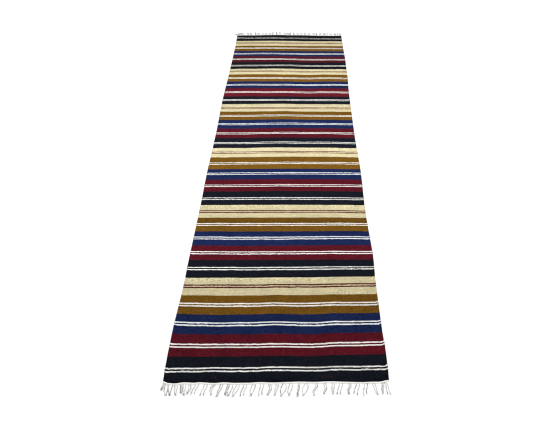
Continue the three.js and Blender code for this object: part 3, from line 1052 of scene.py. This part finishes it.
def striped_wool():
    """The weave, worked out from the marks on the cloth's mesh."""
    g = Graph("striped_wool_weave")
    weft = g.attribute("weft_mm")
    rib = g.attribute("rib_place")
    band = g.attribute("band_place")
    width = g.attribute("band_width")
    pin_shift = g.attribute("pin_shift")
    place = g.vector(g.math("MULTIPLY", rib, CLOTH_WIDTH / RIBS), weft)

    # The wefts wander a little on their way across
    wander = g.math("MULTIPLY", g.noise(g.scaled(rib, 0.14, weft, 0.03), 1.0, 3.0), WEFT_WANDER)
    weft = g.math("ADD", weft, wander)
    band = g.math("ADD", band, g.math("DIVIDE", wander, width))

    # Each weft shows as a bead on every other rib, half a bead further on at the ribs between
    rib_number = g.math("FLOOR", rib)
    rib_share = g.math("SUBTRACT", rib, rib_number)
    odd = g.math("MODULO", rib_number, 2.0)
    row_place = g.math("ADD", g.math("DIVIDE", weft, BEAD_LENGTH), g.math("MULTIPLY", odd, 0.5))
    row = g.math("FLOOR", row_place)
    row_share = g.math("SUBTRACT", row_place, row)
    to_middle = g.math("MULTIPLY", g.math("SUBTRACT", 0.5, row_share), BEAD_LENGTH)
    band = g.math("ADD", band, g.math("DIVIDE", to_middle, width))
    band = g.math("MAXIMUM", g.math("MINIMUM", band, len(PIN_SHIFTS) - 0.001), 0.001)
    bead_weft = g.math("ADD", weft, to_middle)

    # The band that the bead belongs to, and whether it is in one of its two pinstripes
    band_number = g.math("FLOOR", band)
    band_share = g.math("SUBTRACT", band, band_number)
    from_middle = g.math("MULTIPLY", g.math("SUBTRACT", band_share, 0.5), width)
    in_repeat = g.math("MODULO", band_number, float(BANDS_IN_REPEAT))
    kind = g.math("DIVIDE", g.math("ADD", in_repeat, 0.5), BANDS_IN_REPEAT)
    ground = g.steps(kind, ("black", "maroon", "blue", "ochre", "cream"))
    pin_colour = g.steps(kind, ("pin", "maroon_pin", "blue_pin", "ochre_pin", "maroon"))
    thick = g.noise(g.scaled(rib_number, 0.11, bead_weft, 0.15), 1.0, 2.0)
    half = g.math("MULTIPLY_ADD", thick, PIN_UNEVENNESS, g.attribute("pin_half"))
    from_middle = g.math("SUBTRACT", from_middle, pin_shift)
    jog = g.noise(g.scaled(rib_number, 0.22, bead_weft, 0.06, 9.0), 1.0, 2.0, 0.7)
    from_middle = g.math("MULTIPLY_ADD", jog, PIN_JOG, from_middle)
    off_pin = g.math("ABSOLUTE", g.math("SUBTRACT", g.math("ABSOLUTE", from_middle), PIN_OFFSET))
    in_pin = g.math("LESS_THAN", off_pin, half)
    colour = g.mix(in_pin, ground, pin_colour)

    # Shades: from band to band, from weft to weft, from bead to bead, and in soft clouds
    weft_number = g.math("ADD", g.math("MULTIPLY", row, 2.0), odd)
    streak = g.noise(g.scaled(rib, 0.02, weft_number, 0.35), 1.0, 3.0, 0.7)
    cloud = g.noise(place, 0.012, 4.0, 0.6)
    bead_chance = g.chance(g.vector(rib_number, row, 3.0))
    patch = g.noise(place, 0.17, 2.0, 0.7)
    warmth = g.math("MULTIPLY", g.noise(place, 0.05, 3.0, 0.6), 0.5)
    band_chance = g.chance(g.vector(band_number, 7.0, 1.0))
    tone = g.math("MULTIPLY_ADD", band_chance, BAND_TONE_CHANCE, -BAND_TONE_CHANCE / 2)
    # Each repeat's tone, in the first repeat partly painted shade towards the near end
    tone = g.math("ADD", tone, g.attribute("repeat_tone"))
    in_far_half = g.math("GREATER_THAN", from_middle, 0.0)
    band_tone = g.math("MULTIPLY_ADD", g.attribute("far_half_tone"), in_far_half, g.attribute("band_tone"))
    tone = g.math("MULTIPLY_ADD", band_tone, g.math("SUBTRACT", 1.0, in_pin), tone)
    tone = g.math("MULTIPLY_ADD", streak, STREAK_TONE, tone)
    tone = g.math("MULTIPLY_ADD", cloud, CLOUD_TONE, tone)
    bead_tone = g.math("MULTIPLY", g.math("SUBTRACT", bead_chance, 0.5), BEAD_TONE)
    speckle = g.math("MULTIPLY_ADD", patch, PATCH_TONE, bead_tone)
    grain = g.attribute("grain")
    grain = g.math("MULTIPLY_ADD", in_pin, g.math("SUBTRACT", PIN_GRAIN, grain), grain)
    tone = g.math("MULTIPLY_ADD", speckle, grain, tone)
    tone = g.math("MAXIMUM", tone, DARKEST_TONE)

    # Grooves between beads and between ribs lie in shade
    rib_hump = g.hump(rib_share)
    bead_hump = g.hump(row_share)
    groove = g.math("POWER", g.math("MULTIPLY", rib_hump, bead_hump), 0.3)
    tone = g.math("MULTIPLY", tone, g.math("MULTIPLY_ADD", groove, CREST_GAIN, GROOVE_LIGHT))
    cool_tone = g.math("MULTIPLY", tone, g.math("SUBTRACT", 1.0, warmth))
    colour = g.mix(1.0, colour, g.vector(tone, tone, cool_tone), "MULTIPLY")

    # Thin dust and a little lint on the beads, and one faint mark near the near end
    dust = g.math("MULTIPLY", g.noise(g.scaled(rib, 0.5, weft, 0.16, 5.0), 1.0), DUST)
    colour = g.mix(g.math("MAXIMUM", dust, 0.0), colour, linear("lint"))
    lint = g.math("GREATER_THAN", g.chance(g.vector(rib_number, row, 11.0)), 1 - LINT_CHANCE)
    colour = g.mix(g.math("MULTIPLY", lint, LINT), colour, linear("lint"))
    mark_x = g.math("DIVIDE", g.math("SUBTRACT", rib, RIBS * MARK_ACROSS), RIBS * MARK_HALF_WIDTH)
    mark_y = g.math("DIVIDE", g.math("SUBTRACT", weft, MARK_ALONG), MARK_HALF_LENGTH)
    mark_far = g.math("ADD", g.math("MULTIPLY", mark_x, mark_x), g.math("MULTIPLY", mark_y, mark_y))
    mark_cloud = g.math("ADD", g.noise(place, 0.12, 3.0), 0.45)
    mark = g.math("MULTIPLY", g.math("SUBTRACT", 1.0, mark_far), mark_cloud)
    mark = g.clamp(g.math("MULTIPLY", mark, 0.8), 0.0, MARK_MOST)
    colour = g.mix(mark, colour, linear("stain"))
    g.plug(colour, g.shader.inputs["Base Color"])

    fibre = g.noise(g.scaled(rib, 4.0, weft, 3.2), 1.0, 3.0, 0.7)
    height = g.math("MULTIPLY", g.math("POWER", rib_hump, 0.6), RIB_BUMP)
    height = g.math("MULTIPLY_ADD", g.math("POWER", bead_hump, 0.6), BEAD_BUMP, height)
    height = g.math("MULTIPLY_ADD", fibre, FIBRE_BUMP, height)
    g.bump(height)
    g.plug(g.math("MULTIPLY_ADD", fibre, 0.16, 0.9), g.shader.inputs["Roughness"])
    g.shader.inputs["Specular IOR Level"].default_value = 0.06
    return g.material


def warp_cotton(name, paint, groove_depth_and_shade, grime_and_shade, grime_and_shade_share):
    """Plied yarn, with grooves between its plies in relief and in painted shade, and blotches of grime and
    painted shade.
    """
    g = Graph(name)
    place = g.node("ShaderNodeTexCoord").outputs["Object"]
    around, along, _ = g.node("ShaderNodeSeparateXYZ").outputs
    separate = along.node
    g.plug(g.node("ShaderNodeUVMap", uv_map="yarn").outputs[0], separate.inputs[0])
    twist = g.math("DIVIDE", along, YARN_TWIST_PITCH)
    turn = g.math("ADD", g.math("MULTIPLY", around, PLIES_IN_YARN), twist)
    ply_share = g.math("FRACT", turn)
    ply = g.hump(ply_share)
    cloud = g.noise(place, 60.0, 3.0, 0.6)
    fibre = g.noise(place, 2500.0, 3.0, 0.7)
    # The grooves between plies are darker: painted shade
    tone = g.math("MULTIPLY_ADD", g.math("POWER", ply, 0.5), groove_depth_and_shade, 1.02 - groove_depth_and_shade)
    tone = g.math("MULTIPLY_ADD", cloud, 0.12, tone)
    tone = g.math("MULTIPLY_ADD", fibre, 0.10, tone)
    colour = g.mix(1.0, linear(paint), g.vector(tone, tone, tone), "MULTIPLY")
    # Blotches of grime and painted shade, greyer where a yarn carries more of it
    blotch = g.math("MULTIPLY_ADD", g.noise(place, 110.0, 2.0, 0.6), 3.2, g.attribute("grime_and_shade"))
    blotch = g.math("MULTIPLY", g.clamp(g.math("ADD", blotch, 0.15), 0.0, 1.0), grime_and_shade_share)
    colour = g.mix(blotch, colour, linear(grime_and_shade))
    g.plug(colour, g.shader.inputs["Base Color"])
    groove = g.math("MULTIPLY", g.math("POWER", ply, 0.6), 0.55 * groove_depth_and_shade)
    height = g.math("MULTIPLY_ADD", fibre, 0.05, groove)
    g.bump(height)
    g.plug(g.math("MULTIPLY_ADD", fibre, 0.14, 0.88), g.shader.inputs["Roughness"])
    g.shader.inputs["Specular IOR Level"].default_value = 0.2
    return g.material


# The studio

def floor():
    mesh = bpy.data.meshes.new("studio_floor")
    signs = ((-1, -1), (1, -1), (1, 1), (-1, 1))
    corners = [(x * FLOOR_REACH, y * FLOOR_REACH, FLOOR_HEIGHT) for x, y in signs]
    mesh.from_pydata(corners, [], [(0, 1, 2, 3)])
    g = Graph("studio_floor_paint")
    g.shader.inputs["Base Color"].default_value = (0.94, 0.94, 0.94, 1.0)
    g.shader.inputs["Emission Color"].default_value = (1.0, 1.0, 1.0, 1.0)
    g.shader.inputs["Emission Strength"].default_value = FLOOR_GLOW
    g.shader.inputs["Roughness"].default_value = 0.9
    g.shader.inputs["Specular IOR Level"].default_value = 0.1
    mesh.materials.append(g.material)
    piece = bpy.data.objects.new("studio_floor", mesh)
    bpy.context.scene.collection.objects.link(piece)


def area_light(name, place, aim, size, power):
    light = bpy.data.lights.new(name, "AREA")
    light.shape = "SQUARE"
    light.size = size
    light.energy = power
    lamp = bpy.data.objects.new(name, light)
    lamp.location = place
    way = np.array(aim, float) - np.array(place, float)
    way /= np.linalg.norm(way)
    lamp.rotation_euler = (math.acos(-way[2]), 0.0, math.atan2(way[1], way[0]) - math.pi / 2)
    bpy.context.scene.collection.objects.link(lamp)


def studio():
    scene = bpy.context.scene
    world = bpy.data.worlds.new("studio_light")
    world.use_nodes = True
    world.node_tree.nodes["Background"].inputs["Color"].default_value = (1.0, 1.0, 1.0, 1.0)
    world.node_tree.nodes["Background"].inputs["Strength"].default_value = SKY_LIGHT
    scene.world = world
    area_light("far_softbox", SOFTBOX_PLACE, SOFTBOX_AIM, SOFTBOX_SIZE, SOFTBOX_POWER)
    key = bpy.data.lights.new("key_light", "SUN")
    key.energy = KEY_LIGHT
    key.angle = math.radians(KEY_SOFTNESS)
    lamp = bpy.data.objects.new("key_light", key)
    lamp.rotation_euler = (math.radians(KEY_FROM_ABOVE), 0.0, math.radians(KEY_FROM_FAR_END))
    bpy.context.scene.collection.objects.link(lamp)
    floor()

    camera = bpy.data.cameras.new("photo_camera")
    camera.sensor_fit = "HORIZONTAL"
    camera.sensor_width = SENSOR_WIDTH
    camera.lens = FOCAL_PIXELS / IMAGE_WIDTH * SENSOR_WIDTH
    camera.shift_x = CAMERA_SHIFT_X
    holder = bpy.data.objects.new("photo_camera", camera)
    holder.location = CAMERA_PLACE
    holder.rotation_euler = (math.radians(90.0 - CAMERA_TILT_DOWN), 0.0, 0.0)
    scene.collection.objects.link(holder)
    scene.camera = holder
    scene.view_settings.view_transform = "Standard"
    scene.cycles.filter_width = PIXEL_FILTER_WIDTH


near_cotton = warp_cotton("near_cotton_yarn", "cotton", 0.3, "grime_and_shade", 0.8)
# The far fringe's yarn is a darker grey: grime and painted shade
far_cotton = warp_cotton("far_cotton_yarn", "cotton", 0.3, "far_grime_and_shade", 0.95)
cord_cotton = warp_cotton("cord_cotton_yarn", "cord", 0.02, "grime_and_shade", 0.05)
cloth = woven_runner()
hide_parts("woven_runner")
on_cloth = [
    end_cord("near", cord_cotton),
    end_cord("far", cord_cotton),
    tassels("near", NEAR_TASSELS, near_cotton),
    tassels("far", FAR_TASSELS, far_cotton),
]
studio()
